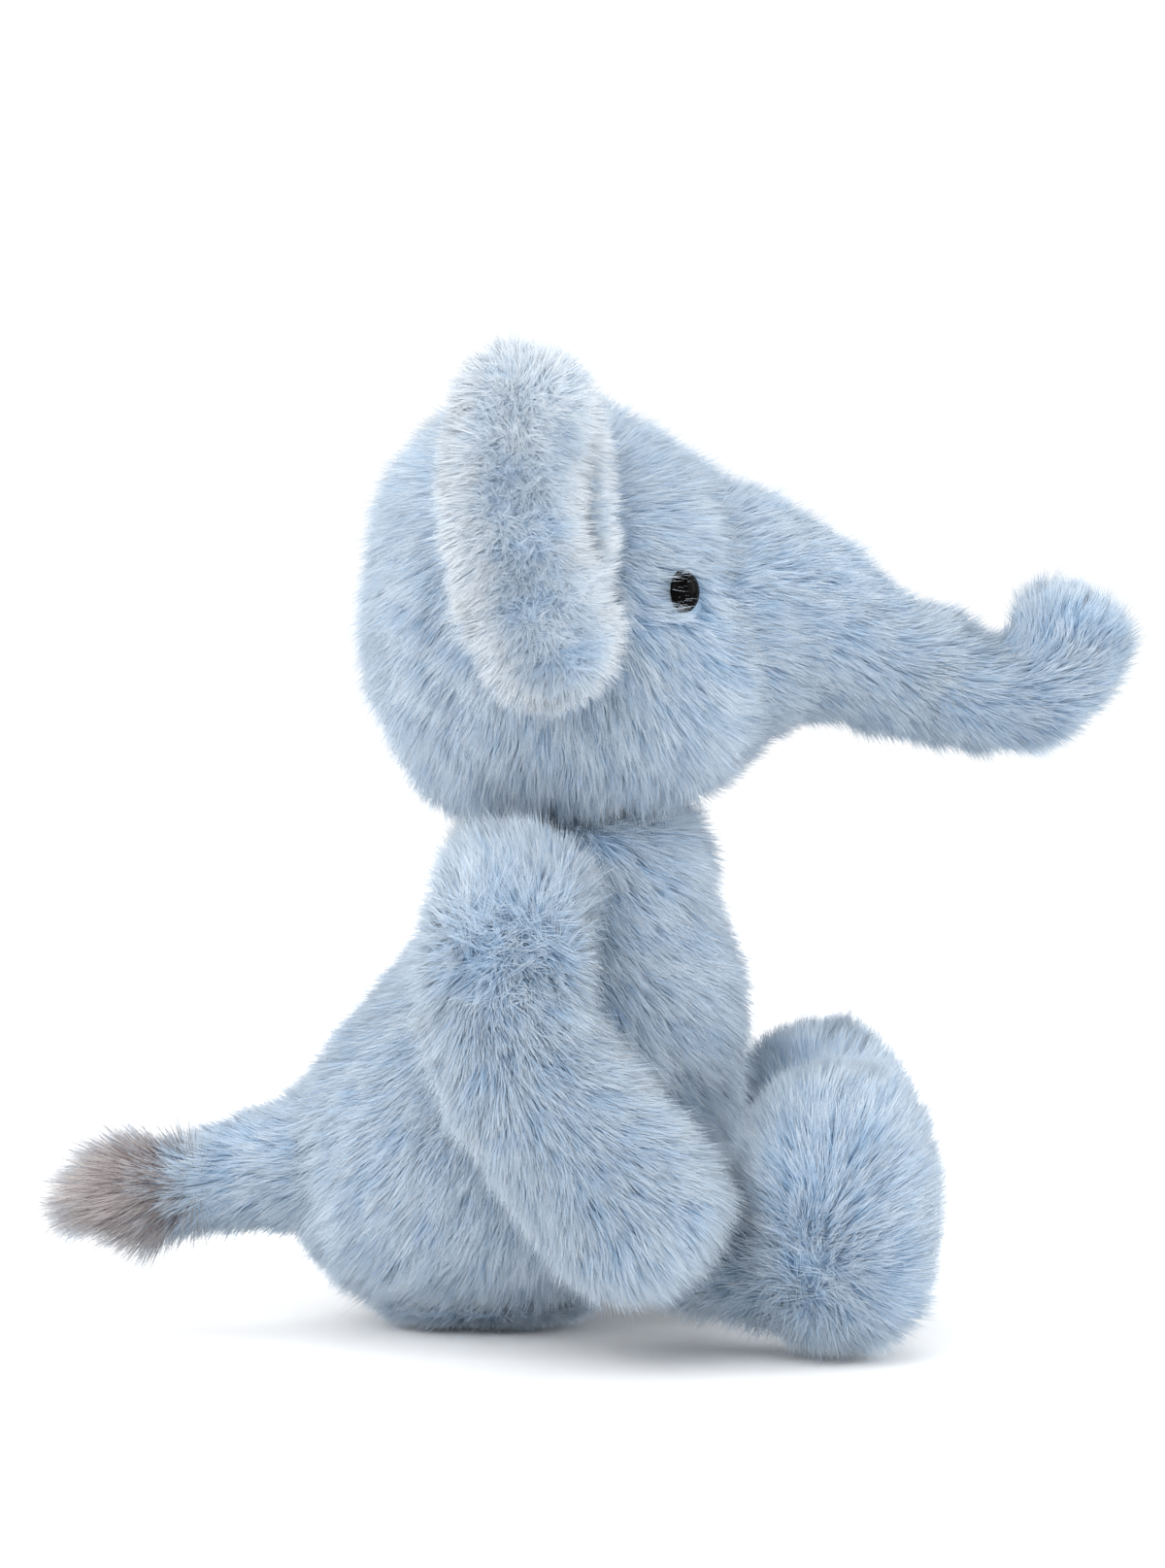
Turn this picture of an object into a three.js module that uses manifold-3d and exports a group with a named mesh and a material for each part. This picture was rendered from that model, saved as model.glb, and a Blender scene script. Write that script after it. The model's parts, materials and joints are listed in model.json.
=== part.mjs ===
// A seated plush elephant: stuffed fabric shells with fillings inside, joined at soft sewn joints.
// Millimetres, +Z up, +X the way the elephant faces, +Y its left side.
// The origin is the middle of its outline, on the surface that it sits on.

import * as THREE from 'three';
import { mergeVertices } from 'three/addons/utils/BufferGeometryUtils.js';
import Module from 'manifold-3d';

const wasm = await Module();
wasm.setup();

// ---------------------------------------------------------------------------------------------
// Driving dimensions
// ---------------------------------------------------------------------------------------------

const SEAM = 0.4; // gap between two pieces that are sewn or pressed together
const PLAY = 1.1; // gap round a ball that turns in its pocket
const WALL = 6; // backing and pile of the long-pile fabric
const THIN_WALL = 4.5; // the same on the ears, trunk and tail
const SEAT_THICKNESS = 6.5; // the flat panel under the torso, with its pile pressed down
const BEAN_BAG_TOP = 24; // height of the top of the bean bag in the seat
const OPENING = 1; // how far a hollow runs on past an open end
const ARM_SEAM = -58; // level of the seam between an arm's outer and inner cover, along Y
const FAR = 400; // half-size of a cutting block, beyond every piece
const MERGE_WITHIN = 1e-4; // corners closer than this are one corner

// Facets round a form, on its outside and in its hollow, and how many steps it has along its length
const TORSO_FACETS = { outside: [18, 12], inside: [12, 7] };
const HEAD_FACETS = { outside: [18, 10], inside: [12, 6] };
const FOOT_FACETS = { outside: [14, 8], inside: [8, 5] };
const TUBE_FACETS = { outside: 12, inside: 8 };
const CAP_STEPS = { outside: 3, inside: 2 };
const BALL_FACETS = [14, 8];
const TURNED_FACETS = 16;

// Joints: the ball that a limb turns on
const NECK = { centre: [2, 0, 121], radius: 12 };
const TRUNK_ROOT = { centre: [60, 0, 171], radius: 20 };
const TRUNK_MIDDLE = { centre: [95, 0, 159], radius: 15 };
const TAIL_ROOT = { centre: [-86, 0, 38], radius: 14 };
const SHOULDER = { centre: [-12, -46, 103], radius: 16.5 };
const HIP = { centre: [33, -32, 21], radius: 17.5 };

// Ears: the front edge that they are sewn along, and how far they stand out and lean back
const EAR = { edge: [12, -50, 158], splay: 24, lean: 7 };

// Eyes: the middle of the bead's back, and how far it looks forward from straight sideways
const EYE = { centre: [25, -38.6, 182], forward: 40, radius: 4.8, height: 3.4 };
const DOME = [[0.96, 0.4], [0.75, 0.75], [0.4, 0.95]]; // its dome, in shares of the radius and the height
const SHANK = { radius: 1.6, length: 11.5 };
const WASHER = { radius: 6, from: 8, to: 9.6 };

// Rows of a loft: height, middle along X, half-length along X, half-width along Y
const TORSO_ROWS = [
  [0, -24, 27, 24],
  [4, -23.5, 32.5, 30],
  [10, -21.5, 40, 36],
  [18, -18, 49.5, 40],
  [28, -17, 54, 42],
  [42, -16.5, 55, 42],
  [58, -14.5, 53, 40.5],
  [74, -9, 48, 37],
  [90, -2.5, 41, 32],
  [102, 0, 35, 29],
  [111, 1, 30, 25],
  [119, 2, 20, 18],
];
const HEAD_ROWS = [
  [133.6, 0, 33, 29],
  [140, 0, 41, 36],
  [150, 0.5, 47.5, 42.5],
  [163, 1, 51, 46.5],
  [178, -1, 51, 48],
  [196, -4, 47.5, 45],
  [210, -7, 40, 38],
  [220, -10, 27, 26],
  [226, -11, 13, 12],
];

// Stuffed tubes: points of the middle line, and the half-thickness both ways at each point
const TRUNK_BASE = {
  path: [[60, 0, 171], [72, 0, 167.5], [86, 0, 162]],
  widths: [20, 19.5, 17.5],
  depths: [20, 19.5, 17.5],
  ends: [1, 0],
  along: 4,
};
const TRUNK_TIP = {
  path: [[95, 0, 159], [106, 0, 157.5], [116, 0, 161.5], [120.5, 0, 171]],
  widths: [15, 15.5, 15, 14],
  depths: [15, 15.5, 15, 14],
  ends: [1, 0.8],
  along: 6,
};
const ARM = {
  path: [[-12, -46, 103], [-17, -55, 87], [-10.5, -61.5, 68], [3.5, -65.5, 49.5], [13, -66, 38.5]],
  widths: [16.5, 19, 20, 20.5, 20.5],
  depths: [16.5, 20.5, 21.5, 22, 22.5],
  ends: [1, 1],
  along: 8,
};
const LEG = {
  path: [[33, -32, 21], [43, -36, 23], [56, -41, 26]],
  widths: [17.5, 18.5, 20],
  depths: [17.5, 19, 21],
  ends: [1, 0],
  along: 4,
};
const TAIL = {
  path: [[-86, 0, 38], [-96, 0, 36], [-105, 0, 34.5]],
  widths: [14, 13, 12],
  depths: [14, 13, 12],
  ends: [1, 0],
  along: 3,
};
const TUFT = {
  path: [[-105.6, 0, 34.4], [-117, 0, 33], [-130, 0, 32]],
  widths: [10.5, 13, 7],
  depths: [11, 14, 7],
  ends: [0, 0.9],
  along: 4,
};
const EAR_PADDLE = {
  path: [[-24, 0, 14], [-25, 0, 34], [-26.5, 0, 56], [-26, 0, 73]],
  widths: [6, 8.5, 8.5, 6.5],
  depths: [17, 24, 26, 19],
  ends: [2.4, 2.4],
  along: 6,
};
const FOOT = { centre: [61.5, -43, 35], half: [24.5, 26, 35], squareness: 0.82 };

// ---------------------------------------------------------------------------------------------
// Solids
// ---------------------------------------------------------------------------------------------

// A closed three.js geometry as a solid that can be cut and joined.
function solidOf(geometry) {
  const bare = geometry.clone();
  bare.deleteAttribute('normal');
  bare.deleteAttribute('uv');
  const merged = mergeVertices(bare, MERGE_WITHIN);
  const index = merged.index.array;
  const kept = [];
  for (let i = 0; i < index.length; i += 3) {
    const [a, b, c] = [index[i], index[i + 1], index[i + 2]];
    if (a !== b && b !== c && c !== a) {
      kept.push(a, b, c);
    }
  }
  const mesh = new wasm.Mesh({
    numProp: 3,
    vertProperties: new Float32Array(merged.attributes.position.array),
    triVerts: new Uint32Array(kept),
  });
  return new wasm.Manifold(mesh);
}

// A solid as a three.js geometry.
function geometryOf(solid) {
  const mesh = solid.getMesh();
  const geometry = new THREE.BufferGeometry();
  geometry.setAttribute('position', new THREE.BufferAttribute(new Float32Array(mesh.vertProperties), 3));
  geometry.setIndex(new THREE.BufferAttribute(new Uint32Array(mesh.triVerts), 1));
  geometry.computeVertexNormals();
  return geometry;
}

// The same geometry in a mirror that stands on the elephant's middle plane.
function mirrored(geometry) {
  const copy = geometry.clone();
  const position = copy.attributes.position;
  for (let i = 0; i < position.count; i += 1) {
    position.setY(i, -position.getY(i));
  }
  const index = copy.index.array;
  for (let i = 0; i < index.length; i += 3) {
    [index[i], index[i + 1]] = [index[i + 1], index[i]];
  }
  copy.computeVertexNormals();
  return copy;
}

// Moves every vertex of a geometry to place(x, y, z).
function reshaped(geometry, place) {
  const position = geometry.attributes.position;
  for (let i = 0; i < position.count; i += 1) {
    const point = place(position.getX(i), position.getY(i), position.getZ(i));
    position.setXYZ(i, point.x, point.y, point.z);
  }
  return geometry;
}

// A stack of smooth ellipses with a flat bottom and top, drawn in by inset all round.
function loft(rows, inset, facets) {
  const middle = new THREE.CatmullRomCurve3(rows.map(([z, x]) => new THREE.Vector3(x, 0, z)));
  const half = new THREE.CatmullRomCurve3(rows.map(([, , a, b]) => new THREE.Vector3(a, b, 0)));
  const bottom = rows[0][0];
  const top = rows[rows.length - 1][0];
  const shape = new THREE.CylinderGeometry(1, 1, 1, ...facets);
  return reshaped(shape, (x, y, z) => {
    const centre = middle.getPoint(y + 0.5);
    const { x: length, y: width } = half.getPoint(y + 0.5);
    return new THREE.Vector3(
      centre.x + x * (length - inset),
      -z * (width - inset),
      THREE.MathUtils.mapLinear(centre.z, bottom, top, bottom + inset, top - inset),
    );
  });
}

// A stuffed tube along a smooth path, drawn in by inset. ends says how round its two ends are:
// 0 is flat and 1 is half a ball. widths run across the elephant, depths at right angles to them.
// A hollow's flat ends run on past the path by reach, so that it opens there.
function tube({ path, widths, depths, ends, along }, inset = 0, reach = 0) {
  const line = new THREE.CatmullRomCurve3(path.map((p) => new THREE.Vector3(...p)));
  const size = new THREE.CatmullRomCurve3(widths.map((w, i) => new THREE.Vector3(w, depths[i], 0)));
  const side = inset > 0 ? 'inside' : 'outside';
  const shape = new THREE.CapsuleGeometry(1, 2, CAP_STEPS[side], TUBE_FACETS[side], along);
  return reshaped(shape, (x, y, z) => {
    const inside = THREE.MathUtils.clamp(y, -1, 1);
    const t = (inside + 1) / 2;
    const tangent = line.getTangent(t);
    const across = new THREE.Vector3(0, 1, 0).addScaledVector(tangent, -tangent.y).normalize();
    const upward = new THREE.Vector3().crossVectors(tangent, across);
    const { x: width, y: depth } = size.getPoint(t);
    const round = y < 0 ? ends[0] : ends[1];
    const end = round > 0 ? round * Math.min(width - inset, depth - inset) : reach;
    return line
      .getPoint(t)
      .addScaledVector(upward, x * (depth - inset))
      .addScaledVector(across, z * (width - inset))
      .addScaledVector(tangent, (y - inside) * end);
  });
}

// The upright padded foot, drawn in by inset: a ball squared off a little on every side.
function foot(inset) {
  const shape = new THREE.SphereGeometry(1, ...FOOT_FACETS[inset > 0 ? 'inside' : 'outside']);
  shape.rotateX(Math.PI / 2);
  const squared = (v) => Math.sign(v) * Math.abs(v) ** FOOT.squareness;
  return reshaped(shape, (x, y, z) => new THREE.Vector3(
    FOOT.centre[0] + squared(x) * (FOOT.half[0] - inset),
    FOOT.centre[1] + squared(y) * (FOOT.half[1] - inset),
    FOOT.centre[2] + squared(z) * (FOOT.half[2] - inset),
  ));
}

// The ball of a joint, made larger by extra.
function ball({ centre, radius }, extra = 0) {
  const shape = new THREE.SphereGeometry(radius + extra, ...BALL_FACETS);
  shape.rotateX(Math.PI / 2);
  shape.translate(...centre);
  return solidOf(shape);
}

// A block that fills one side of the plane at level on an axis: side is 1 above it, -1 below it.
function block(axis, level, side) {
  const shape = new THREE.BoxGeometry(2 * FAR, 2 * FAR, 2 * FAR);
  const middle = [0, 0, 0];
  middle['xyz'.indexOf(axis)] = level + side * FAR;
  shape.translate(...middle);
  return solidOf(shape);
}

// A solid cut in two along a seam: [the part below the level, the part above it].
function seamed(solid, axis, level) {
  return [
    solid.subtract(block(axis, level - SEAM / 2, 1)),
    solid.subtract(block(axis, level + SEAM / 2, -1)),
  ];
}

function without(solid, cuts) {
  return cuts.reduce((rest, cut) => rest.subtract(cut), solid);
}

// A round profile turned about an axis through a point, pointing along direction.
function turned(profile, centre, direction) {
  const shape = new THREE.LatheGeometry(profile.map(([r, h]) => new THREE.Vector2(r, h)), TURNED_FACETS);
  const up = new THREE.Vector3(0, 1, 0);
  shape.applyQuaternion(new THREE.Quaternion().setFromUnitVectors(up, direction));
  shape.translate(...centre);
  return solidOf(shape);
}

// ---------------------------------------------------------------------------------------------
// Materials and scene graph
// ---------------------------------------------------------------------------------------------

const LOOKS = {
  plush: { color: 0xa5c0da, roughness: 0.95 },
  filling: { color: 0xf2f0ea, roughness: 0.9 },
  beans: { color: 0xd8d4c8, roughness: 0.6 },
  bead: { color: 0x0b0b0d, roughness: 0.08 },
  washer: { color: 0xe4e4e0, roughness: 0.45 },
  tuft: { color: 0xb9a7a2, roughness: 0.95 },
};

const elephant = new THREE.Group();

function add(name, geometry, look, parent = elephant) {
  const mesh = new THREE.Mesh(geometry, new THREE.MeshStandardMaterial({ ...LOOKS[look], metalness: 0 }));
  mesh.name = name;
  parent.add(mesh);
}

// Adds a piece of the right side, and its mirror image on the left.
function addPair(name, solid, look) {
  const right = geometryOf(solid);
  add(`${name}_right`, right, look);
  add(`${name}_left`, mirrored(right), look);
}

// Adds a two-part cover and its filling on the elephant's middle plane.
function addStuffed(name, cover, filling) {
  const [right, left] = seamed(cover, 'y', 0);
  add(`${name}_cover_right`, geometryOf(right), 'plush');
  add(`${name}_cover_left`, geometryOf(left), 'plush');
  add(`${name}_filling`, geometryOf(filling), 'filling');
}

function onLeft({ centre: [x, y, z], radius }) {
  return { centre: [x, -y, z], radius };
}

// ---------------------------------------------------------------------------------------------
// Sub-parts
// ---------------------------------------------------------------------------------------------

// Two side covers open at the neck and limbs, a flat seat panel, the filling and a bean bag.
function addTorso() {
  const { outside, inside } = TORSO_FACETS;
  const joints = [NECK, SHOULDER, onLeft(SHOULDER), HIP, onLeft(HIP), TAIL_ROOT];
  const pockets = joints.map((joint) => ball(joint, PLAY));
  const body = without(solidOf(loft(TORSO_ROWS, 0, outside)), pockets);
  const [seat, sides] = seamed(body, 'z', SEAT_THICKNESS + SEAM / 2);
  const cover = sides.subtract(solidOf(loft(TORSO_ROWS, WALL, inside)));
  const stuffing = without(solidOf(loft(TORSO_ROWS, WALL + SEAM, inside)), pockets);
  const raised = stuffing.subtract(block('z', SEAT_THICKNESS + 2 * SEAM, -1));
  const [beans, filling] = seamed(raised, 'z', BEAN_BAG_TOP);
  add('seat_panel', geometryOf(seat), 'plush');
  add('seat_bean_bag', geometryOf(beans), 'beans');
  addStuffed('torso', cover, filling);
}

// The stuffed neck that the head turns and nods on.
function addNeck() {
  add('neck_plug', geometryOf(ball(NECK)), 'filling');
}

// Two cheek covers with a pocket for the trunk, the filling, and the eyes held by washers inside.
function addHead() {
  const forward = THREE.MathUtils.degToRad(EYE.forward);
  const outward = new THREE.Vector3(Math.sin(forward), -Math.cos(forward), 0);
  const { radius, height } = EYE;
  const bead = turned(
    [
      [0, -SHANK.length], [SHANK.radius, -SHANK.length], [SHANK.radius, 0], [radius, 0],
      ...DOME.map(([out, up]) => [out * radius, up * height]), [0, height],
    ],
    EYE.centre, outward,
  );
  const rod = (thick, from, to) => turned(
    [[0, from], [thick, from], [thick, to], [0, to]], EYE.centre, outward,
  );
  const bore = rod(SHANK.radius + SEAM, -SHANK.length - SEAM, WALL);
  const seat = rod(radius + SEAM, -SEAM, WALL);
  const disc = rod(WASHER.radius, -WASHER.to, -WASHER.from).subtract(bore);
  const flat = rod(WASHER.radius + SEAM, -SHANK.length, SEAM - WASHER.from);
  const room = rod(WASHER.radius + SEAM, -SHANK.length - 2 * SEAM, WALL);
  const bothSides = (solid) => [solid, solidOf(mirrored(geometryOf(solid)))];
  const pocket = ball(TRUNK_ROOT, PLAY);
  const hollow = solidOf(loft(HEAD_ROWS, WALL, HEAD_FACETS.inside));
  const shell = solidOf(loft(HEAD_ROWS, 0, HEAD_FACETS.outside)).subtract(hollow);
  const stuffing = solidOf(loft(HEAD_ROWS, WALL + SEAM, HEAD_FACETS.inside));
  const cover = without(shell, [pocket, ...[bore, seat, flat].flatMap(bothSides)]);
  addStuffed('head', cover, without(stuffing, [pocket, ...bothSides(room)]));
  addPair('eye', bead, 'bead');
  addPair('eye_washer', disc, 'washer');
}

// The trunk in two stuffed lengths: the base turns in the head, and the tip curls on the base.
function addTrunk() {
  const pocket = ball(TRUNK_MIDDLE, PLAY);
  const base = solidOf(tube(TRUNK_BASE)).subtract(pocket);
  const baseInside = solidOf(tube(TRUNK_BASE, THIN_WALL, OPENING));
  const baseFilling = solidOf(tube(TRUNK_BASE, THIN_WALL + SEAM)).subtract(pocket);
  addStuffed('trunk_base', base.subtract(baseInside), baseFilling);
  const tip = solidOf(tube(TRUNK_TIP));
  const tipInside = solidOf(tube(TRUNK_TIP, THIN_WALL));
  addStuffed('trunk_tip', tip.subtract(tipInside), solidOf(tube(TRUNK_TIP, THIN_WALL + SEAM)));
}

// A flat padded ear: outer panel, lining and a thin wadding between them.
function addEar(side) {
  const shell = solidOf(tube(EAR_PADDLE)).subtract(solidOf(tube(EAR_PADDLE, THIN_WALL)));
  const [outer, lining] = seamed(shell, 'y', 0);
  const wadding = solidOf(tube(EAR_PADDLE, THIN_WALL + SEAM));
  const ear = new THREE.Group();
  const sign = side === 'right' ? 1 : -1;
  const place = side === 'right' ? (g) => g : mirrored;
  const [x, y, z] = EAR.edge;
  ear.position.set(x, sign * y, z);
  const lean = -THREE.MathUtils.degToRad(EAR.lean);
  const splay = sign * THREE.MathUtils.degToRad(EAR.splay);
  ear.rotation.set(0, lean, splay, 'ZYX');
  add(`ear_outer_${side}`, place(geometryOf(outer)), 'plush', ear);
  add(`ear_lining_${side}`, place(geometryOf(lining)), 'plush', ear);
  add(`ear_wadding_${side}`, place(geometryOf(wadding)), 'filling', ear);
  elephant.add(ear);
}

// Arms with an outer and an inner cover and a filling; the hand is the arm's rounded end.
function addArms() {
  const shell = solidOf(tube(ARM)).subtract(solidOf(tube(ARM, WALL)));
  const [outer, inner] = seamed(shell, 'y', ARM_SEAM);
  addPair('arm_outer', outer, 'plush');
  addPair('arm_inner', inner, 'plush');
  addPair('arm_filling', solidOf(tube(ARM, WALL + SEAM)), 'filling');
}

// Legs: a short sleeve with its filling, and an upright padded foot with an upper and a sole.
function addLegs() {
  const sole = block('z', 0, -1);
  const pad = solidOf(foot(0)).subtract(sole);
  const shell = pad.subtract(solidOf(foot(WALL)));
  const [upper, front] = seamed(shell, 'x', FOOT.centre[0]);
  const beyond = solidOf(foot(-SEAM)).add(block('x', FOOT.centre[0] - FOOT.half[0] / 2, 1));
  const sleeve = solidOf(tube(LEG)).subtract(beyond);
  const hollow = solidOf(tube(LEG, WALL));
  addPair('leg_sleeve', sleeve.subtract(hollow), 'plush');
  addPair('leg_filling', solidOf(tube(LEG, WALL + SEAM)).subtract(beyond), 'filling');
  addPair('foot_upper', upper, 'plush');
  addPair('foot_sole', front, 'plush');
  addPair('foot_filling', solidOf(foot(WALL + SEAM)), 'filling');
}

// The stuffed tail with a tuft of longer pile on its end.
function addTail() {
  const shell = solidOf(tube(TAIL)).subtract(solidOf(tube(TAIL, THIN_WALL, OPENING)));
  addStuffed('tail', shell, solidOf(tube(TAIL, THIN_WALL + SEAM)));
  add('tail_tuft', geometryOf(solidOf(tube(TUFT))), 'tuft');
}

addTorso();
addNeck();
addHead();
addTrunk();
addEar('right');
addEar('left');
addArms();
addLegs();
addTail();

export default elephant;
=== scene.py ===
# The seated plush elephant: padded skins round the CAD solids, and a coat of real fur strands on each.
# It is all in the frame of the CAD, and lengths are in millimetres until a finished mesh goes to metres.

import json
import math

import bmesh
import bpy
import numpy as np
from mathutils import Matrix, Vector


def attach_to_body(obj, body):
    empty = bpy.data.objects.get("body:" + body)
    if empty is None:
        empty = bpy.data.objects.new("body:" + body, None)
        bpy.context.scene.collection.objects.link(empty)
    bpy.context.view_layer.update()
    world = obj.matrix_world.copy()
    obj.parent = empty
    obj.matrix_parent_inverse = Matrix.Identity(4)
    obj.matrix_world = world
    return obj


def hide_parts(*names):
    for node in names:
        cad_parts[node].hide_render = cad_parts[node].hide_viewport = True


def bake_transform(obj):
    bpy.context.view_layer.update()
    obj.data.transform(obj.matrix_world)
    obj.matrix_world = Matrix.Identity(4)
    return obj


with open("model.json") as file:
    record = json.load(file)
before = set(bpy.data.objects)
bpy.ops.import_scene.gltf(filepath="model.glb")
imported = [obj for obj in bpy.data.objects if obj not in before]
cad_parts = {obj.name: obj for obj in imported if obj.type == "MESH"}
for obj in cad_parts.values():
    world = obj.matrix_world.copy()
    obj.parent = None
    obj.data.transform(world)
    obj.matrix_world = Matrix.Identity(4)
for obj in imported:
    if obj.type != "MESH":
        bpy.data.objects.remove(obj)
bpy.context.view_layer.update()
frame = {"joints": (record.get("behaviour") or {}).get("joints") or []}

MM = 0.001
TAU = 2 * math.pi
JOINTS = {j["name"]: j for j in frame["joints"]}


def pivot(joint):
    """The centre of a joint, in millimetres."""
    return np.array(JOINTS[joint]["pos_m"], float) / MM


# ---------------------------------------------------------------------------------------------
# Shapes, drawn at the outside of the fur
# ---------------------------------------------------------------------------------------------

# Rows of a loft: height, middle along X, half-length along X, half-width along Y
TORSO_ROWS = [
    (0.8, -24, 14, 7), (2.6, -24, 22, 12.5), (6.5, -23.5, 32, 21.5), (13, -21.5, 42, 31.5),
    (21, -18, 51.5, 39), (30, -16.5, 56, 43.5), (42, -16, 56.5, 44.5), (52, -16, 55.5, 43.5),
    (62, -12.8, 53, 42), (72, -9.2, 50.5, 40), (82, -5.2, 46.5, 37.5), (92, -2.3, 42, 35),
    (102, -0.8, 37.3, 32.5), (112, 0.2, 33.4, 30.5), (122, 1.2, 31, 28), (130, 1.5, 27, 24),
    (135, 1, 19, 17), (137, 1, 10, 9),
]
HEAD_ROWS = [
    (123, -3.5, 17, 14), (125.5, -3.5, 30.5, 25), (131, -3, 38, 34), (139, -1.5, 44.5, 40),
    (150, -1, 50, 45.5), (163, -1.5, 52, 48.5), (178, -2.5, 51.5, 49.5), (192, -3.8, 49, 47.5),
    (205, -5.8, 44, 43.5), (216, -8.5, 36, 36), (224, -10.8, 26.5, 27), (229.5, -12, 15, 15.5),
    (231, -12, 7, 7),
]
# Points of a stuffed tube: x, y, z of its middle, half-width across, half-depth in its own bend
TRUNK_ROOT_POINTS = [
    (22, 0, 171.5, 34.5, 37.5), (36, 0, 173.7, 31, 35.4), (50, 0, 172, 26, 28.8), (62, 0, 168.2, 22, 22.3),
    (73, 0, 163.8, 19.3, 19.4), (84, 0, 160.6, 17.3, 18.3),
]
TRUNK_TIP_POINTS = [
    (72, 0, 165, 16.6, 16.6), (82, 0, 161.4, 17.2, 17.6), (92, 0, 157.8, 16.4, 16.6),
    (101, 0, 156.3, 15.8, 16), (109, 0, 158, 15.8, 16.5), (116, 0, 163.5, 15.5, 16.4),
    (119.5, 0, 171.4, 15.2, 15.8),
]
ARM_POINTS = [
    (-14.5, -41, 111, 17, 20), (-17.2, -49.5, 101, 19, 21.8), (-17.8, -56.5, 87, 20, 22.3),
    (-11.5, -62, 69, 20.5, 22.5), (2, -65.5, 51.5, 20.8, 23), (13, -66.5, 38, 20.8, 23.2),
]
# The height at which the pile of an arm parts
SHOULDER_SEAM = 103
LEG_POINTS = [(24, -29, 25.5, 17.5, 17.5), (40, -35, 24.5, 19.5, 19), (54, -40, 26, 22, 23)]
TAIL_POINTS = [(-64, 0, 41, 17, 19), (-78, 0, 39, 15, 16), (-92, 0, 36, 13, 13.3), (-106, 0, 34.5, 12, 12)]
TUFT_POINTS = [(-98, 0, 35.4, 8.8, 9), (-107, 0, 34, 10, 10.8), (-118, 0, 32.3, 6, 7)]
# The ear in its own frame: the paddle, and the fold along its front edge where it is sewn on
EAR_POINTS = [
    (-19.3, 0, 15, 9.5, 20), (-22.6, 0, 28, 10.5, 19.8), (-24.8, 0, 41, 10.5, 19), (-24.2, 0, 54.5, 10.5, 19),
    (-19, 0, 69.5, 9.8, 19.6),
]
# How far the ends of the paddle are rounded
EAR_ENDS = (1.75, 1.8)
EAR_FOLD_POINTS = [
    (-3.9, 3.3, 29, 5, 5.4), (-3.5, 3.3, 42, 5.8, 6), (-3.1, 3.3, 56, 5.8, 6), (-3.1, 3.3, 69, 5, 5.2),
]
FOOT_MIDDLE, FOOT_HALF, FOOT_SQUARENESS = (60.5, -43, 35.8), (25.3, 26.5, 35.6), 0.83
SEAT_ROWS = [
    (3.2, -24, 12, 6), (3.5, -24, 18, 9), (4.6, -24, 23, 13), (6.2, -23.8, 23.5, 14), (6.9, -23.5, 14, 8),
]
BEAN_BAG_ROWS = [
    (11, -21, 16, 8), (12.5, -20.5, 24, 13), (16, -19, 33, 21), (21, -18, 34, 26), (24, -18, 20, 16),
]
# Where the right ear's own frame sits, and how far it is turned out and leans back, in degrees
EAR_EDGE, EAR_SPLAY, EAR_LEAN = (12, -50, 158), 24, 7
# The right eye: where its bead sits, how far it looks forward in degrees, and the size of its dome
EYE_MIDDLE, EYE_FORWARD, EYE_RADIUS, EYE_HEIGHT = (23.8, -37.2, 182), 56, 5.2, 3.6
# Radius and height along the shank of an eye, from its far end to the edge of the dome
EYE_SHANK = [(0.4, -11.3), (1.5, -11.2), (1.6, -10.8), (1.6, -0.7), (4.1, -0.65), (4.6, -0.4)]
EYE_WASHER = [(2, -9.5), (5.6, -9.5), (6, -9.3), (6, -8.3), (5.6, -8.1), (2, -8.1)]
NECK_PLUG_RADIUS, NECK_PLUG_HALF = 11.6, 3

# The middle line of a tube is followed in so many steps
LINE_STEPS = 60
# How deep the skin lies under the outside of the fur
PILE = 6.6
EAR_PILE = 4.8
TRUNK_ROOT_PILE = 6.2
TRUNK_TIP_PILE = 5.4
TAIL_PILE = 5.2
TUFT_PILE = 4
# How much further in the stuffing starts
COVER = 3.2
# How high the soft lumps of a skin and of a stuffing stand, and how far apart
SKIN_LUMPS, STUFFING_LUMPS, LUMP_SPACING = 0.4, 0.7, 22


# ---------------------------------------------------------------------------------------------
# Mesh making
# ---------------------------------------------------------------------------------------------

def spline(points, t):
    """A smooth curve through evenly spaced points, at parameters t from 0 to 1."""
    p = np.array(points, float)
    s = np.clip(np.asarray(t, float), 0, 1) * (len(p) - 1)
    i = np.minimum(s.astype(int), len(p) - 2)
    f = (s - i)[:, None]
    padded = np.vstack([2 * p[0] - p[1], p, 2 * p[-1] - p[-2]])
    a, b, c, d = padded[i], padded[i + 1], padded[i + 2], padded[i + 3]
    return 0.5 * (2 * b + (c - a) * f + (2 * a - 5 * b + 4 * c - d) * f**2 + (3 * b - a - 3 * c + d) * f**3)


def unit(v):
    return v / np.maximum(np.linalg.norm(v, axis=-1, keepdims=True), 1e-9)


def rings_mesh(name, rings):
    """A closed mesh from a stack of rings of points, with a fan of faces on each end."""
    count, around = len(rings), len(rings[0])
    verts = np.vstack([*rings, rings[0].mean(0), rings[-1].mean(0)])
    faces = []
    for r in range(count - 1):
        for k in range(around):
            n = (k + 1) % around
            faces.append((r * around + k, r * around + n, (r + 1) * around + n, (r + 1) * around + k))
    first, last = count * around, count * around + 1
    for k in range(around):
        n = (k + 1) % around
        faces.append((first, n, k))
        faces.append((last, (count - 1) * around + k, (count - 1) * around + n))
    mesh = bpy.data.meshes.new(name)
    mesh.from_pydata(verts.tolist(), [], faces, shade_flat=False)
    obj = bpy.data.objects.new(name, mesh)
    bpy.context.collection.objects.link(obj)
    return obj


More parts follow.
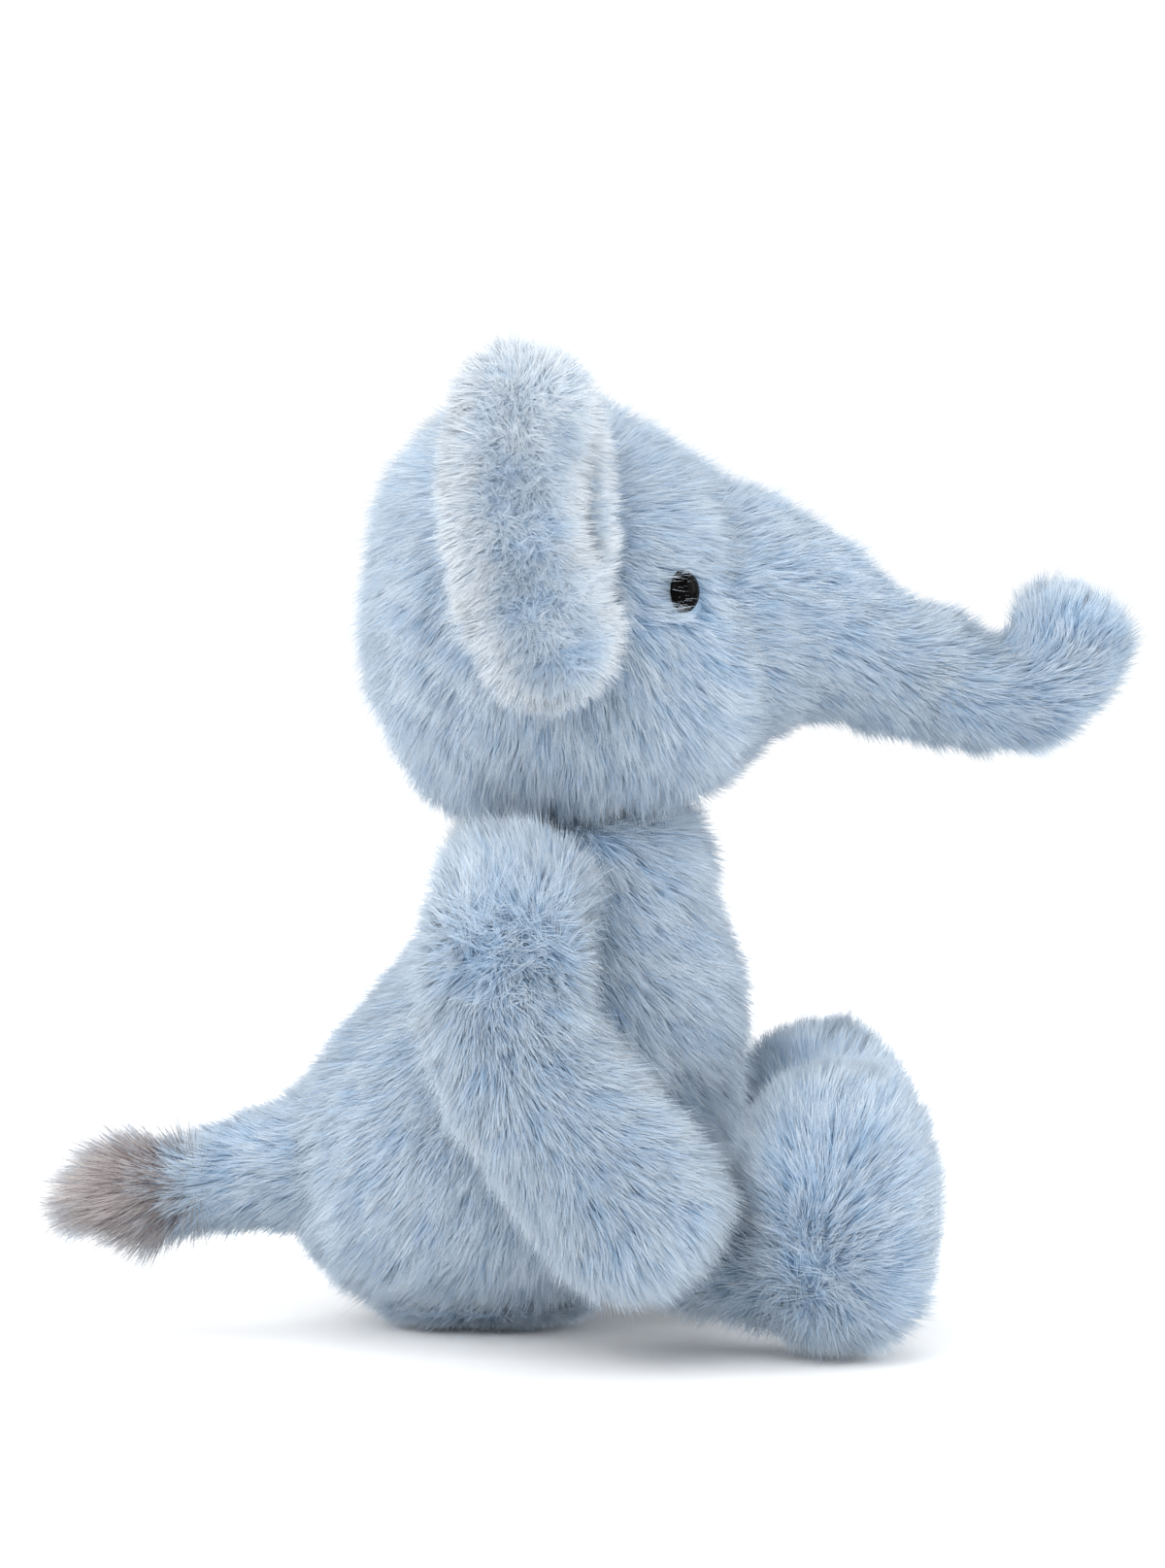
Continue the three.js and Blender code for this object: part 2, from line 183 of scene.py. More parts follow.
def loft(name, rows, depth=0.0, around=56, along=64):
    """A crowned closed form from rows of ellipses, drawn in by depth."""
    t = 0.5 - 0.5 * np.cos(np.linspace(0, math.pi, along))
    s = spline(rows, t)
    low, high = s[0, 0], s[-1, 0]
    s[:, 0] = low + depth + (s[:, 0] - low) * (high - low - 2 * depth) / (high - low)
    s[:, 2:] = np.maximum(s[:, 2:] - depth, 0.6)
    angle = np.linspace(0, TAU, around, endpoint=False)
    rings = [np.stack([x + a * np.cos(angle), b * np.sin(angle), np.full(around, z)], 1) for z, x, a, b in s]
    return rings_mesh(name, rings)


# The angles, in radians, from near the tip of a rounded end to its edge
CAP_ARC = (1.5, 0.15)


def tube(name, points, ends=(1, 1), depth=0.0, around=40, along=44, caps=9):
    """A stuffed tube through points, drawn in by depth, with ends rounded by so much of a half ball."""
    s = spline(points, np.linspace(0, 1, along))
    centre, width, deep = s[:, :3], s[:, 3] - depth, s[:, 4] - depth
    tangent = unit(np.gradient(centre, axis=0))
    angle = np.linspace(0, TAU, around, endpoint=False)
    stack = []
    for i, share, past in (
        [(0, math.cos(a), -math.sin(a)) for a in np.linspace(*CAP_ARC, caps)]
        + [(i, 1, 0) for i in range(along)]
        + [(along - 1, math.cos(a), math.sin(a)) for a in np.linspace(*reversed(CAP_ARC), caps)]
    ):
        across = unit(np.array([0, 1.0, 0]) - tangent[i] * tangent[i][1])
        other = np.cross(tangent[i], across)
        end = ends[0] if past < 0 else ends[1]
        cap = max(end * (min(width[i], deep[i]) + depth) - depth, 0)
        middle = centre[i] + tangent[i] * past * cap
        stack.append(
            middle
            + np.outer(np.cos(angle), other) * deep[i] * share
            + np.outer(np.sin(angle), across) * width[i] * share
        )
    return rings_mesh(name, stack)


def foot_pad(name, depth=0.0):
    """The upright padded foot: a ball squared off a little on every side."""
    t = np.linspace(0.06, math.pi - 0.06, 30)
    angle = np.linspace(0, TAU, 44, endpoint=False)
    rings = []
    for a in t:
        across = math.sin(a)
        way = np.stack([across * np.cos(angle), across * np.sin(angle), np.full(len(angle), -math.cos(a))], 1)
        squared = np.sign(way) * np.abs(way) ** FOOT_SQUARENESS
        rings.append(np.array(FOOT_MIDDLE) + squared * (np.array(FOOT_HALF) - depth))
    return rings_mesh(name, rings)


def points_of(obj):
    co = np.empty(len(obj.data.vertices) * 3, np.float32)
    obj.data.vertices.foreach_get("co", co)
    return co.reshape(-1, 3).astype(float)


def set_points(obj, co):
    obj.data.vertices.foreach_set("co", co.astype(np.float32).ravel())
    obj.data.update()


def normals_of(obj):
    n = np.empty(len(obj.data.vertices) * 3, np.float32)
    obj.data.vertex_normals.foreach_get("vector", n)
    return n.reshape(-1, 3).astype(float)


def outward(obj):
    """Turns every face of a closed mesh outward."""
    b = bmesh.new()
    b.from_mesh(obj.data)
    bmesh.ops.recalc_face_normals(b, faces=b.faces)
    b.to_mesh(obj.data)
    b.free()
    return obj


def fused(name, parts, voxel, rounds):
    """One smooth closed skin out of several overlapping closed meshes."""
    bpy.ops.object.select_all(action="DESELECT")
    for p in parts:
        p.select_set(True)
    bpy.context.view_layer.objects.active = parts[0]
    bpy.ops.object.join()
    obj = parts[0]
    obj.name = obj.data.name = name
    for kind, settings in (
        ("REMESH", {"mode": "VOXEL", "voxel_size": voxel, "use_smooth_shade": True}),
        ("SMOOTH", {"factor": 0.5, "iterations": rounds}),
    ):
        m = obj.modifiers.new(kind, kind)
        for key, value in settings.items():
            setattr(m, key, value)
    evaluated = obj.evaluated_get(bpy.context.evaluated_depsgraph_get())
    final = bpy.data.meshes.new_from_object(evaluated)
    obj.modifiers.clear()
    obj.data = final
    obj.data.name = name
    return obj


def waves(co, size, seed, count=7):
    """Smooth noise from -1 to 1 with features of about size."""
    r = np.random.default_rng(seed)
    direction = unit(r.normal(size=(count, 3))) * (TAU / size) * r.uniform(0.6, 1.5, (count, 1))
    return np.sin(co @ direction.T + r.uniform(0, TAU, count)).sum(1) / math.sqrt(count) * 0.8


def lumpy(obj, lumps, seed):
    """Soft stuffing lumps under a skin."""
    co, n = points_of(obj), normals_of(obj)
    set_points(obj, co + n * (waves(co, LUMP_SPACING, seed) * lumps)[:, None])
    return obj


def ear_place(co, back=False, turn_only=False):
    """Takes points of the right ear from its own frame to its place on the head, or back."""
    lean, splay = math.radians(-EAR_LEAN), math.radians(EAR_SPLAY)
    leaned = np.array([[math.cos(lean), 0, math.sin(lean)], [0, 1, 0], [-math.sin(lean), 0, math.cos(lean)]])
    splayed = np.array([
        [math.cos(splay), -math.sin(splay), 0], [math.sin(splay), math.cos(splay), 0], [0, 0, 1]
    ])
    turn = splayed @ leaned
    if back:
        return (co - np.array(EAR_EDGE)) @ turn
    return co @ turn.T + np.array(EAR_EDGE) * (not turn_only)


# ---------------------------------------------------------------------------------------------
# Materials
# ---------------------------------------------------------------------------------------------

def srgb(r, g, b):
    """A colour given in display values, as the shader wants it."""
    linear = [c / 12.92 if c <= 0.04045 else ((c + 0.055) / 1.055) ** 2.4 for c in (r, g, b)]
    return (*linear, 1)


def new_material(name, roughness, sheen=0.0, sheen_tint=(1, 1, 1, 1)):
    material = bpy.data.materials.new(name)
    material.use_nodes = True
    nodes = material.node_tree.nodes
    shader = nodes["Principled BSDF"]
    shader.inputs["Roughness"].default_value = roughness
    shader.inputs["Sheen Weight"].default_value = sheen
    shader.inputs["Sheen Roughness"].default_value = 0.3
    shader.inputs["Sheen Tint"].default_value = sheen_tint
    shader.inputs["Specular IOR Level"].default_value = 0.25
    return material, material.node_tree, shader


def ramp(tree, stops):
    node = tree.nodes.new("ShaderNodeValToRGB")
    elements = node.color_ramp.elements
    while len(elements) < len(stops):
        elements.new(0.5)
    for e, (at, colour) in zip(elements, stops):
        e.position = at
        e.color = colour
    return node


def fur_material(name, deep, pale):
    """Fur coloured along each strand, from root to tip; deep and pale are the two ends of its tint."""
    material, tree, shader = new_material(name, 0.8, sheen=1.0, sheen_tint=srgb(0.86, 0.93, 1.0))
    uv = tree.nodes.new("ShaderNodeUVMap")
    uv.uv_map = "OFBake"
    split = tree.nodes.new("ShaderNodeSeparateXYZ")
    tree.links.new(uv.outputs[0], split.inputs[0])
    ramps = []
    for stops in (deep, pale):
        node = ramp(tree, stops)
        tree.links.new(split.outputs["Y"], node.inputs[0])
        ramps.append(node)
    mix = tree.nodes.new("ShaderNodeMix")
    mix.data_type = "RGBA"
    tree.links.new(split.outputs["X"], mix.inputs[0])
    tree.links.new(ramps[0].outputs[0], mix.inputs[6])
    tree.links.new(ramps[1].outputs[0], mix.inputs[7])
    tree.links.new(mix.outputs[2], shader.inputs["Base Color"])
    return material


def cloth_material(name, dark, light, scale, bump):
    """Knitted backing or stuffing: fine mottling with a soft relief."""
    material, tree, shader = new_material(name, 0.9, sheen=0.3)
    place = tree.nodes.new("ShaderNodeTexCoord")
    noise = tree.nodes.new("ShaderNodeTexNoise")
    noise.inputs["Scale"].default_value = scale
    noise.inputs["Detail"].default_value = 6
    tree.links.new(place.outputs["Object"], noise.inputs["Vector"])
    colours = ramp(tree, [(0.3, dark), (0.7, light)])
    tree.links.new(noise.outputs[0], colours.inputs[0])
    tree.links.new(colours.outputs[0], shader.inputs["Base Color"])
    relief = tree.nodes.new("ShaderNodeBump")
    relief.inputs["Strength"].default_value = bump
    relief.inputs["Distance"].default_value = 0.0006
    tree.links.new(noise.outputs[0], relief.inputs["Height"])
    tree.links.new(relief.outputs[0], shader.inputs["Normal"])
    return material


# The whitish tips of the blue and ear pile are partly the pile's own colour and partly painted light,
# standing in for light that shines through the tips at the outline.
BLUE_FUR = fur_material(
    "blue_pile",
    [(0.0, srgb(0.42, 0.575, 0.745)), (0.5, srgb(0.52, 0.665, 0.81)), (1.0, srgb(0.76, 0.835, 0.895))],
    [(0.0, srgb(0.60, 0.70, 0.80)), (0.5, srgb(0.76, 0.83, 0.89)), (1.0, srgb(0.97, 0.975, 0.98))],
)
EAR_FUR = fur_material(
    "ear_pile",
    [(0.0, srgb(0.50, 0.64, 0.78)), (0.4, srgb(0.60, 0.72, 0.84)), (1.0, srgb(0.76, 0.84, 0.91))],
    [(0.0, srgb(0.74, 0.82, 0.89)), (0.4, srgb(0.84, 0.89, 0.935)), (1.0, srgb(0.97, 0.98, 0.985))],
)
TUFT_FUR = fur_material(
    "tuft_pile",
    [(0.0, srgb(0.20, 0.16, 0.17)), (0.5, srgb(0.36, 0.31, 0.315)), (1.0, srgb(0.88, 0.85, 0.84))],
    [(0.0, srgb(0.36, 0.32, 0.325)), (0.5, srgb(0.60, 0.55, 0.55)), (1.0, srgb(0.99, 0.98, 0.97))],
)
BACKING = cloth_material("knit_backing", srgb(0.56, 0.66, 0.77), srgb(0.64, 0.74, 0.84), 420, 0.5)
EAR_BACKING = cloth_material("ear_backing", srgb(0.70, 0.78, 0.86), srgb(0.78, 0.85, 0.91), 420, 0.5)
TUFT_BACKING = cloth_material("tuft_backing", srgb(0.35, 0.29, 0.29), srgb(0.45, 0.38, 0.38), 500, 0.5)
STUFFING = cloth_material("hollow_fibre", srgb(0.86, 0.85, 0.82), srgb(0.97, 0.97, 0.95), 260, 0.9)
BEAN_CLOTH = cloth_material("bean_cloth", srgb(0.70, 0.67, 0.60), srgb(0.82, 0.79, 0.72), 900, 0.7)


def bead_material():
    """Polished black plastic with a faint brown depth."""
    material, tree, shader = new_material("black_bead", 0.05)
    place = tree.nodes.new("ShaderNodeTexCoord")
    noise = tree.nodes.new("ShaderNodeTexNoise")
    noise.inputs["Scale"].default_value = 180
    tree.links.new(place.outputs["Object"], noise.inputs["Vector"])
    colours = ramp(tree, [(0.35, srgb(0.015, 0.015, 0.02)), (0.75, srgb(0.035, 0.03, 0.03))])
    tree.links.new(noise.outputs[0], colours.inputs[0])
    tree.links.new(colours.outputs[0], shader.inputs["Base Color"])
    shader.inputs["Specular IOR Level"].default_value = 0.02
    return material


BEAD = bead_material()
WASHER = cloth_material("washer_plastic", srgb(0.86, 0.86, 0.84), srgb(0.92, 0.92, 0.90), 120, 0.1)


# ---------------------------------------------------------------------------------------------
# Fur: closed three-sided strands in locks
# ---------------------------------------------------------------------------------------------

STRAND_SHARE = 1.0
MAX_STRANDS = 49000
# Strands in one lock, and how far they spread against the room that the lock has
LOCK = 7
LOCK_SPREAD = 1.5
# The share of strands that are longer, paler and finer than the rest, and by how much
GUARD_SHARE = 0.16
GUARD_LENGTH, GUARD_TINT, GUARD_THICKNESS = 1.16, 0.3, 0.75
# How much a strand is shaded like the skin that it grows from
SOFTNESS = 0.75
# How deep a strand is rooted in its skin, and how high above the floor the lowest tips are spread
ROOTED = 0.4
FLOOR_LOW, FLOOR_SPREAD = 0.15, 0.5
# How far locks stray along the skin, in radians, and locks and strands from their lean, in degrees
STRAY = 0.17
LOCK_LEAN, STRAND_LEAN = 6, 7
# How much of a lock's way is left to chance where the nap gives none
SWIRL = 0.6
# The sizes of the patches in which the nap, the lean, and the length and tint of the fur wander
STIR_SIZE, LEAN_SIZE, PATCH_SIZE = 16, 13, 9
# How much the length wanders, and the shares of it that locks and strands have
LENGTH_WAVE = 0.12
LOCK_LENGTHS, STRAND_LENGTHS = (0.88, 1.1), (0.52, 1.12)
# How far tips are drawn in, and how thick strands are, as shares of what is asked
PULLS, THICKNESSES = (0.3, 1.3), (0.75, 1.2)
# The tint of the fur before it wanders, and how much it does from place to place, by lock and by strand
MIDDLE_TINT, TINT_WAVE, LOCK_TINT, STRAND_TINT = 0.42, 0.16, 0.07, 0.1
# The corners of a strand's four faces: three sides and the closed root
STRAND_CORNERS = np.array([0, 1, 3, 1, 2, 3, 2, 0, 3, 0, 2, 1])


def spread_over(obj, count, rng):
    """Random points all over a mesh with their normals."""
    mesh = obj.data
    mesh.calc_loop_triangles()
    tri = np.empty(len(mesh.loop_triangles) * 3, np.int32)
    mesh.loop_triangles.foreach_get("vertices", tri)
    tri = tri.reshape(-1, 3)
    co, n = points_of(obj), normals_of(obj)
    a, b, c = co[tri[:, 0]], co[tri[:, 1]], co[tri[:, 2]]
    area = np.linalg.norm(np.cross(b - a, c - a), axis=1)
    pick = rng.choice(len(tri), count, p=area / area.sum())
    u, v = rng.random((2, count, 1))
    over = u + v > 1
    u, v = np.where(over, 1 - u, u), np.where(over, 1 - v, v)
    w = 1 - u - v
    place = a[pick] * w + b[pick] * u + c[pick] * v
    normal = n[tri[pick, 0]] * w + n[tri[pick, 1]] * u + n[tri[pick, 2]] * v
    return place, unit(normal)


def strand_sides(root, tip, tint):
    """Three ways across each strand, evenly round it."""
    along = unit(tip - root)
    helper = unit(np.cross(along, np.array([0.3, 0.5, 0.81])))
    other = np.cross(along, helper)
    turn = (np.arange(3) * TAU / 3)[None, :] + (tint[:, None] * 40.0)
    return np.cos(turn)[..., None] * helper[:, None] + np.sin(turn)[..., None] * other[:, None]


def strand_uv(tint):
    """Where each corner of each strand finds its colour: tint across, and root to tip upwards."""
    across = np.array([0, 0.5, 1, 0.5])[STRAND_CORNERS]
    uv = np.empty((len(tint), len(STRAND_CORNERS), 2), np.float32)
    uv[..., 0] = 0.01 + tint[:, None] * 0.95 + across * 0.02
    uv[..., 1] = np.array([0.02, 0.0, 0.02, 0.98])[STRAND_CORNERS]
    return uv


def strands(name, root, tip, thick, tint, normal, material, slot):
    """One mesh of closed three-sided strands, each from root to tip."""
    count = len(root)
    side = strand_sides(root, tip, tint)
    verts = np.empty((count, 4, 3))
    verts[:, :3] = root[:, None] + side * (thick / 2)[:, None, None]
    verts[:, 3] = tip
    verts[..., 2] = np.maximum(verts[..., 2], FLOOR_LOW + FLOOR_SPREAD * tint[:, None])
    facing = np.concatenate([side, unit(tip - root)[:, None]], 1)
    facing = unit(facing * (1 - SOFTNESS) + normal[:, None] * SOFTNESS)
    corners = np.arange(count)[:, None] * 4 + STRAND_CORNERS
    mesh = bpy.data.meshes.new(name)
    mesh.vertices.add(count * 4)
    mesh.vertices.foreach_set("co", (verts * MM).astype(np.float32).ravel())
    mesh.loops.add(count * 12)
    mesh.loops.foreach_set("vertex_index", corners.astype(np.int32).ravel())
    mesh.polygons.add(count * 4)
    mesh.polygons.foreach_set("loop_start", (np.arange(count * 4) * 3).astype(np.int32))
    mesh.polygons.foreach_set("use_smooth", np.ones(count * 4, bool))
    mesh.update(calc_edges=True)
    facings = mesh.attributes.new("custom_normal", "FLOAT_VECTOR", "POINT")
    facings.data.foreach_set("vector", facing.astype(np.float32).ravel())
    layer = mesh.uv_layers.new(name="OFBake")
    layer.uv.foreach_set("vector", strand_uv(tint).ravel())
    mesh.materials.append(material)
    obj = bpy.data.objects.new(name, mesh)
    bpy.context.collection.objects.link(obj)
    return obj


def lie_of_locks(place, normal, nap, rough, seed, rng):
    """The way each lock lies along the skin, and the way across it."""
    flow = nap(place)
    weak = 1 - np.minimum(np.linalg.norm(flow, axis=1, keepdims=True), 1)
    stirred = np.stack([waves(place, STIR_SIZE, seed + k) for k in (1, 2, 3)], 1)
    flow = flow + weak * rng.normal(0, SWIRL, (len(place), 3)) + rough * stirred
    lie = unit(flow - normal * (flow * normal).sum(1, keepdims=True))
    cross = np.cross(normal, lie)
    angle = rng.normal(0, STRAY, len(place))
    lie = lie * np.cos(angle)[:, None] + cross * np.sin(angle)[:, None]
    return lie, np.cross(normal, lie)


def at(value, place):
    """A value that may be a function of the place."""
    return value(place) if callable(value) else value


def coat(
    name, skin, nap, length, lean, seed, look=1.0, density=7.6, thick=0.31, clump=0.3, fuzz=0.42, rough=0.22,
    keep=None, pale=None, lit=None, material=None, slot="plush",
):
    """Fur over a skin, as pieces of at most MAX_STRANDS strands.

    nap(points) gives the way the pile lies, and rough stirs it. lean is how far it lies down, in degrees
    from upright. density counts strands on a square millimetre, and thick is their width at the root.
    clump draws the tips of a lock together, and fuzz scatters them. look is how much the tint wanders.
    keep(points) drops strands, pale(points) lightens them, and lit(points) turns their shading.
    """
    rng = np.random.default_rng(seed)
    area = sum(p.area for p in skin.data.polygons)
    place, normal = spread_over(skin, int(area * density * STRAND_SHARE / LOCK), rng)
    if keep is not None:
        kept = keep(place)
        place, normal = place[kept], normal[kept]
    locks = len(place)
    lie, cross = lie_of_locks(place, normal, nap, rough, seed, rng)
    long = at(length, place) * (1 + LENGTH_WAVE * waves(place, PATCH_SIZE, seed + 4))
    long = long * rng.uniform(*LOCK_LENGTHS, locks)
    steep = at(lean, place) + LOCK_LEAN * waves(place, LEAN_SIZE, seed + 5) + rng.normal(0, LOCK_LEAN, locks)
    tint = MIDDLE_TINT + look * TINT_WAVE * waves(place, PATCH_SIZE, seed + 6)
    tint = tint + rng.normal(0, LOCK_TINT, locks)
    if pale is not None:
        tint = tint + pale(place)
    total = locks * LOCK

    def each(values):
        return np.repeat(values, LOCK, axis=0)

    steep = each(np.radians(steep)) + np.radians(rng.normal(0, STRAND_LEAN, total))
    upright, flat = np.cos(steep)[:, None], np.sin(steep)[:, None]
    reach = each(long)[:, None] * (each(normal) * upright + each(lie) * flat)

    radius = LOCK_SPREAD * np.sqrt(rng.random(total) * LOCK / (density * STRAND_SHARE * math.pi))
    turn = rng.uniform(0, TAU, total)
    offset = each(lie) * (radius * np.cos(turn))[:, None] + each(cross) * (radius * np.sin(turn))[:, None]
    guard = rng.random(total) < GUARD_SHARE
    vary = (rng.uniform(*STRAND_LENGTHS, total) * np.where(guard, GUARD_LENGTH, 1))[:, None]
    pull = rng.uniform(*PULLS, total)[:, None] * clump
    root = each(place) + offset - each(normal) * ROOTED
    tip = each(place) + reach * vary + offset * (1 - pull)
    tip += rng.normal(0, fuzz, (total, 3))
    strand_tint = np.clip(each(tint) + rng.normal(0, STRAND_TINT, total) + GUARD_TINT * guard, 0, 1)
    wide = thick / math.sqrt(STRAND_SHARE) * rng.uniform(*THICKNESSES, total)
    wide = wide * np.where(guard, GUARD_THICKNESS, 1)
    shaded = each(normal if lit is None else unit(normal + lit(place)))
    parts = math.ceil(total / MAX_STRANDS)
    pieces = []
    for k in range(parts):
        part = slice(k * total // parts, (k + 1) * total // parts)
        label = name if parts == 1 else f"{name}_{k + 1}"
        made = (root[part], tip[part], wide[part], strand_tint[part], shaded[part])
        pieces.append(strands(label, *made, material or BLUE_FUR, slot))
    return pieces


def towards(*direction):
    """A nap that lies the same way everywhere."""
    return lambda co: np.broadcast_to(unit(np.array(direction, float)), co.shape)


def along_line(points):
    """A nap that follows a tube from its first point to its last."""
    line = spline(points, np.linspace(0, 1, LINE_STEPS))[:, :3]
    tangent = unit(np.gradient(line, axis=0))
    return lambda co: tangent[((co[:, None] - line[None]) ** 2).sum(2).argmin(1)]


# ---------------------------------------------------------------------------------------------
# Padded parts
# ---------------------------------------------------------------------------------------------

def finish_soft(obj, material, replaced):
    """Takes a finished soft mesh to metres and gives it its material."""
    set_points(obj, points_of(obj) * MM)
    obj.data.materials.clear()
    obj.data.materials.append(material)
    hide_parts(*replaced)


def attach(pieces, body):
    """Makes pieces ride on a body; given two bodies and a stretch instead, it only bakes their placement into
    their meshes.
    """
    for p in pieces:
        if isinstance(body, str):
            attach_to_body(p, body)
        else:
            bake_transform(p)


def stuffed(name, make, body, covers, fillings, seed, pile, backing=BACKING, **fur):
    """A padded part: make(name, depth) draws its form, which gets a skin, a filling and a coat."""
    skin = lumpy(outward(make(f"{name}_plush", pile)), SKIN_LUMPS, seed)
    inside = lumpy(outward(make(f"{name}_stuffing", pile + COVER)), STUFFING_LUMPS, seed + 1)
    attach(coat(f"{name}_fur", skin, seed=seed + 2, **fur), body)
    finish_soft(inside, STUFFING, fillings)
    finish_soft(skin, backing, covers)
    attach([skin, inside], body)


# The left part of a pair has its own random strands
LEFT_SEED = 7


def both_sides(name, make, body, covers, fillings, seed, pile, nap, pale=None, lit=None, **fur):
    """A stuffed part on the right, and again in the mirror on the left."""
    for side, sign in (("right", 1), ("left", -1)):
        flip = np.array([1, sign, 1.0])

        def made(label, depth):
            obj = make(label, depth)
            set_points(obj, points_of(obj) * flip)
            return obj

        settings = dict(fur, nap=lambda co: nap(co * flip) * flip)
        if pale is not None:
            settings["pale"] = lambda co: pale(co * flip)
        if lit is not None:
            settings["lit"] = lambda co: lit(co * flip) * flip
        stuffed(
            f"{name}_{side}", made, f"{body}_{side}", [c.format(side) for c in covers],
            [f.format(side) for f in fillings], seed + (LEFT_SEED if sign < 0 else 0), pile, **settings,
        )


def two_covers(name):
    return [f"{name}_cover_right", f"{name}_cover_left"]


def build_torso():
    """The torso, whose pile lies down and outward, and stops where the head hides it."""
    middle, hidden_above = np.array([-10.0, 0, 60]), 127

    def nap(co):
        out = unit((co - middle) * np.array([1, 1, 0]))
        return out * np.array([0.75, 0.3, 0]) + np.array([0, 0, -0.8])

    stuffed(
        "torso", lambda name, depth: loft(name, TORSO_ROWS, depth), "torso", two_covers("torso"),
        ["torso_filling"], 11, PILE, nap=nap, length=11, lean=52,
        keep=lambda co: co[:, 2] < hidden_above,
    )


def build_head():
    """The head: its pile lies out from the crown, forward on the face, and short round the eyes."""
    eyes = [np.array([EYE_MIDDLE[0], s * EYE_MIDDLE[1], EYE_MIDDLE[2]]) for s in (1, -1)]
    crown, on_the_face = np.array([-4.0, 0, 200]), np.array([1.0, 0, -0.25])
    brow_half_height, brow_behind, brow_reach = 8, 3, 14
    # Where along X the face starts, and over how much the pile turns forward there
    face_start, face_over = 20, 15
    # Length, lean and bare ring round the eye, for the brow and for the rest of the head
    brow_pile, head_pile = (8.2, 45, 5.6), (10.5, 50, 7.6)

    def from_eye(co):
        return np.minimum(*(np.linalg.norm(co - e, axis=1) for e in eyes))

    def brow(co):
        """Where the fur lies over the back edge of an eye."""
        level = np.abs(co[:, 2] - eyes[0][2] - 1) < brow_half_height
        return level & (co[:, 0] - eyes[0][0] < -brow_behind) & (from_eye(co) < brow_reach)

    def nap(co):
        lying = unit((co - crown) * np.array([1, 0, 1])) * 0.8 + np.array([0.05, 0, -0.45])
        forward = np.clip((co[:, 0] - face_start) / face_over, 0, 1)[:, None]
        lying = lying * (1 - forward) + on_the_face * forward
        return np.where(brow(co)[:, None], on_the_face, lying)

    def length(co):
        return np.where(brow(co), brow_pile[0], head_pile[0] * np.clip(0.3 + from_eye(co) / 28, 0.45, 1))

    stuffed(
        "head", lambda name, depth: loft(name, HEAD_ROWS, depth), "head", two_covers("head"),
        ["head_filling"], 21, PILE, nap=nap, length=length,
        lean=lambda co: np.where(brow(co), brow_pile[1], head_pile[1]),
        keep=lambda co: from_eye(co) > np.where(brow(co), brow_pile[2], head_pile[2]),
    )


def build_trunk():
    """The trunk in two parts, each given a stretch round its joint, though nothing bends it there; each part
    is baked in place.

    The pile of a part starts short at its hidden end, and is full from the end of its rise. Over the
    forehead, which is above forehead_low, it starts further back.
    """
    root, curl = pivot("trunk_bend"), pivot("trunk_curl")
    forehead_low, forehead_over, forehead_back = 188, 12, 13
    full_length, hidden = 8.8, 3
    for part, base, points, ends, start, end, before, pile, rise in (
        ("root", "trunk_base", TRUNK_ROOT_POINTS, (0.4, 0.3), (root[0] - 16, 0, 172), (root[0] + 14, 0, 166),
         "head", TRUNK_ROOT_PILE, (25, 42)),
        ("tip", "trunk_tip", TRUNK_TIP_POINTS, (0.3, 0.75), (curl[0] - 12, 0, 163), (curl[0] + 10, 0, 157.5),
         "trunk_base", TRUNK_TIP_PILE, (73, 78)),
    ):
        joint = (before, base, tuple(v * MM for v in start), tuple(v * MM for v in end))

        def past(co):
            """How far points are past the start of the rise."""
            above = np.clip((co[:, 2] - forehead_low) / forehead_over, 0, 1)
            return co[:, 0] + forehead_back * above - rise[0]

        stuffed(
            f"trunk_{part}", lambda name, depth: tube(name, points, ends, depth), joint,
            two_covers(base), [f"{base}_filling"], 31, pile, nap=along_line(points), lean=50,
            length=lambda co: full_length * np.clip(past(co) / (rise[1] - rise[0]), 0.3, 1),
            keep=lambda co: past(co) > hidden,
        )


def build_arms():
    """The arms, whose pile parts at the seam round the shoulder."""
    down = along_line(ARM_POINTS)

    def nap(co):
        """Down the arm from the seam at the shoulder, and up above it."""
        above = np.clip((co[:, 2] + 5 * waves(co, 12, 47) - SHOULDER_SEAM) / 15, -1, 1)[:, None]
        return np.where(above > 0, np.array([-0.35, 0, 0.9]) * above, -down(co) * above)

    line = spline(ARM_POINTS, np.linspace(0, 1, LINE_STEPS))

    def pale(co):
        """Painted rim light: paler towards the front and back edges, and deeper along the middle of each
        side.
        """
        gap = (co[:, None] - line[None, :, :3])[..., [0, 2]]
        nearest = (gap**2).sum(2).argmin(1)
        out = np.sqrt((gap[np.arange(len(co)), nearest] ** 2).sum(1)) / (line[nearest, 4] - PILE)
        return 0.2 * np.clip((out - 0.5) / 0.5, 0, 1) ** 1.5

    both_sides(
        "arm", lambda name, depth: tube(name, ARM_POINTS, (1, 0.97), depth), "arm",
        ["arm_outer_{}", "arm_inner_{}"], ["arm_filling_{}"], 43, PILE, nap, pale=pale, length=10.5, lean=50,
    )


def build_legs():
    """The legs with their feet, whose pile lies out from a swirl on the side of the ankle."""
    swirl, swirl_radius = np.array([50.0, 0, 18]), 22

    def make(name, depth):
        return fused(name, [tube("leg", LEG_POINTS, (1, 0.5), depth), foot_pad("foot", depth)], 2.0, 10)

    def nap(co):
        out = (co - swirl) * np.array([1, 0, 1]) / swirl_radius
        return out / np.maximum(np.linalg.norm(out, axis=1, keepdims=True), 1)

    both_sides(
        "leg", make, "leg", ["leg_sleeve_{}", "foot_upper_{}", "foot_sole_{}"],
        ["leg_filling_{}", "foot_filling_{}"], 53, PILE, nap, length=10, lean=46,
    )


